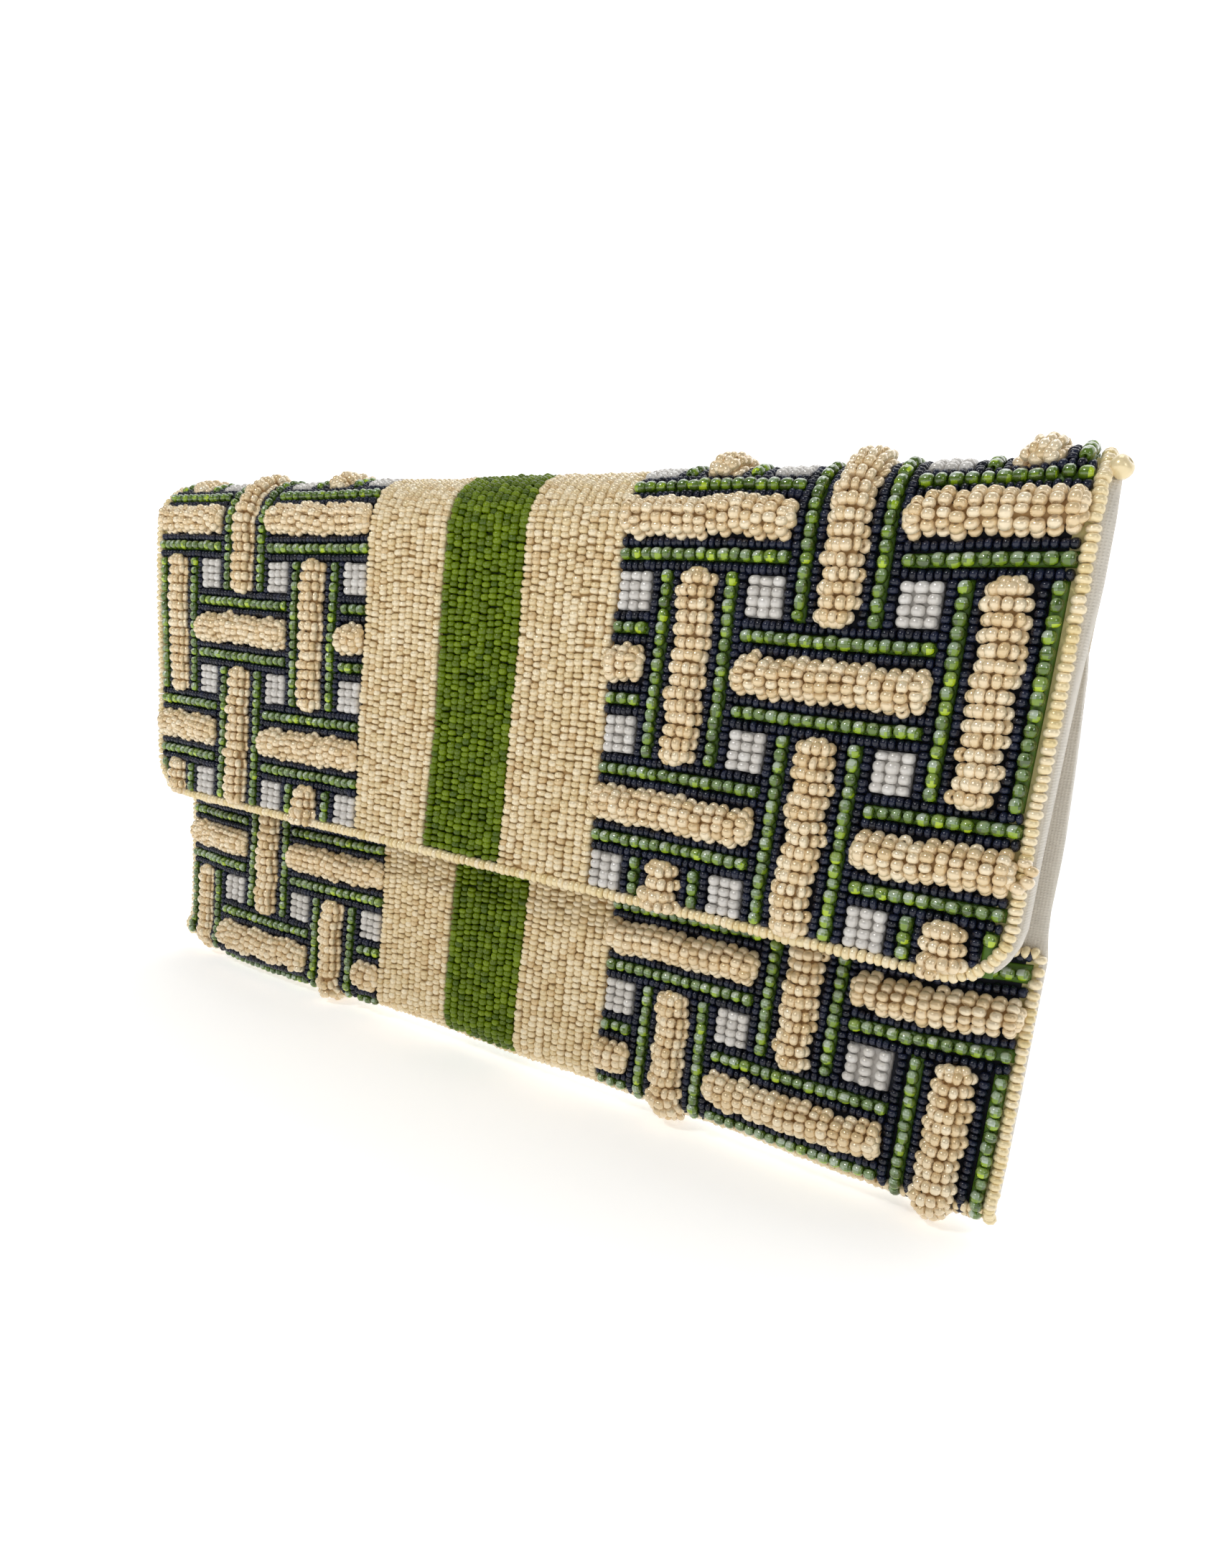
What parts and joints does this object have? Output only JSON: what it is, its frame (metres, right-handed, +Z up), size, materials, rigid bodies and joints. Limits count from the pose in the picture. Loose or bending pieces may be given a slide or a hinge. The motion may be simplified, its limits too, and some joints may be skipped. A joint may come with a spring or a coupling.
{
  "type": "clutch purse",
  "caption": "Flat fold-over clutch purse with a padded magnetic flap, covered in glass beads: woven raised bars on both sides of a plain zone with a green stripe.",
  "frame": {"origin": "centre of the purse's footprint, on the surface that it stands on", "axes": "+X across the purse to the right as seen from the front, -Y towards the front, where the flap hangs, +Z up"},
  "size_m": [0.2436, 0.031, 0.14],
  "materials": {
    "cream_cloth": "matt, plain weave",
    "lining_cloth": "matt, plain weave",
    "board": "matt",
    "wadding": "matt, fluffy",
    "beige_beads": "glossy, pearl lustre",
    "stripe_beads": "glossy",
    "lane_beads": "glossy",
    "white_beads": "glossy, pearl lustre",
    "edge_beads": "glossy, pearl lustre",
    "snap_metal": "polished"
  },
  "bodies": {
    "pouch": {"back_cloth": "cream_cloth", "back_board": "board", "back_lining": "lining_cloth", "back_edging": "edge_beads", "back_plain_beads": "beige_beads", "back_stripe_beads": "stripe_beads", "back_lanes_left": "lane_beads", "back_lanes_right": "lane_beads", "back_white_beads": "white_beads", "back_bars": "beige_beads", "slip_pocket": "lining_cloth", "bottom_cloth": "cream_cloth", "bottom_board": "board", "bottom_lining": "lining_cloth", "bottom_beads": "beige_beads", "bottom_stripe_beads": "stripe_beads", "bottom_bars": "beige_beads", "gusset_left": "cream_cloth", "gusset_right": "cream_cloth"},
    "front": {"front_cloth": "cream_cloth", "front_board": "board", "front_lining": "lining_cloth", "front_edging": "edge_beads", "front_plain_beads": "beige_beads", "front_stripe_beads": "stripe_beads", "front_lanes_left": "lane_beads", "front_lanes_right": "lane_beads", "front_white_beads": "white_beads", "front_bars": "beige_beads", "snap_socket": "snap_metal", "snap_socket_washer": "snap_metal"},
    "spine": {"spine_cloth": "cream_cloth", "spine_stiffener": "board", "spine_lining": "lining_cloth", "spine_edging": "edge_beads", "spine_plain_beads": "beige_beads", "spine_stripe_beads": "stripe_beads", "spine_lanes_left": "lane_beads", "spine_lanes_right": "lane_beads", "spine_white_beads": "white_beads", "spine_bars": "beige_beads"},
    "flap": {"flap_cloth": "cream_cloth", "flap_board": "board", "flap_wadding": "wadding", "flap_lining": "lining_cloth", "flap_edging": "edge_beads", "flap_plain_beads": "beige_beads", "flap_stripe_beads": "stripe_beads", "flap_lanes_left": "lane_beads", "flap_lanes_right": "lane_beads", "flap_white_beads": "white_beads", "flap_bars": "beige_beads", "snap_stud": "snap_metal", "snap_stud_washer": "snap_metal"}
  },
  "joints": [
    {"name": "top_fold", "type": "hinge", "parent": "pouch", "child": "spine", "pos_m": [0, 0.0098, 0.1343], "axis": [-1, 0, 0], "range_deg": [0, 90]},
    {"name": "flap_fold", "type": "hinge", "parent": "spine", "child": "flap", "pos_m": [0, -0.0098, 0.1343], "axis": [-1, 0, 0], "range_deg": [0, 90]},
    {"name": "mouth", "type": "hinge", "parent": "pouch", "child": "front", "pos_m": [0, -0.0005, 0.007], "axis": [1, 0, 0], "range_deg": [0, 8]}
  ],
  "couplings": [
    {"joint": "mouth", "follows": "flap_fold", "ratio": 0.085}
  ]
}
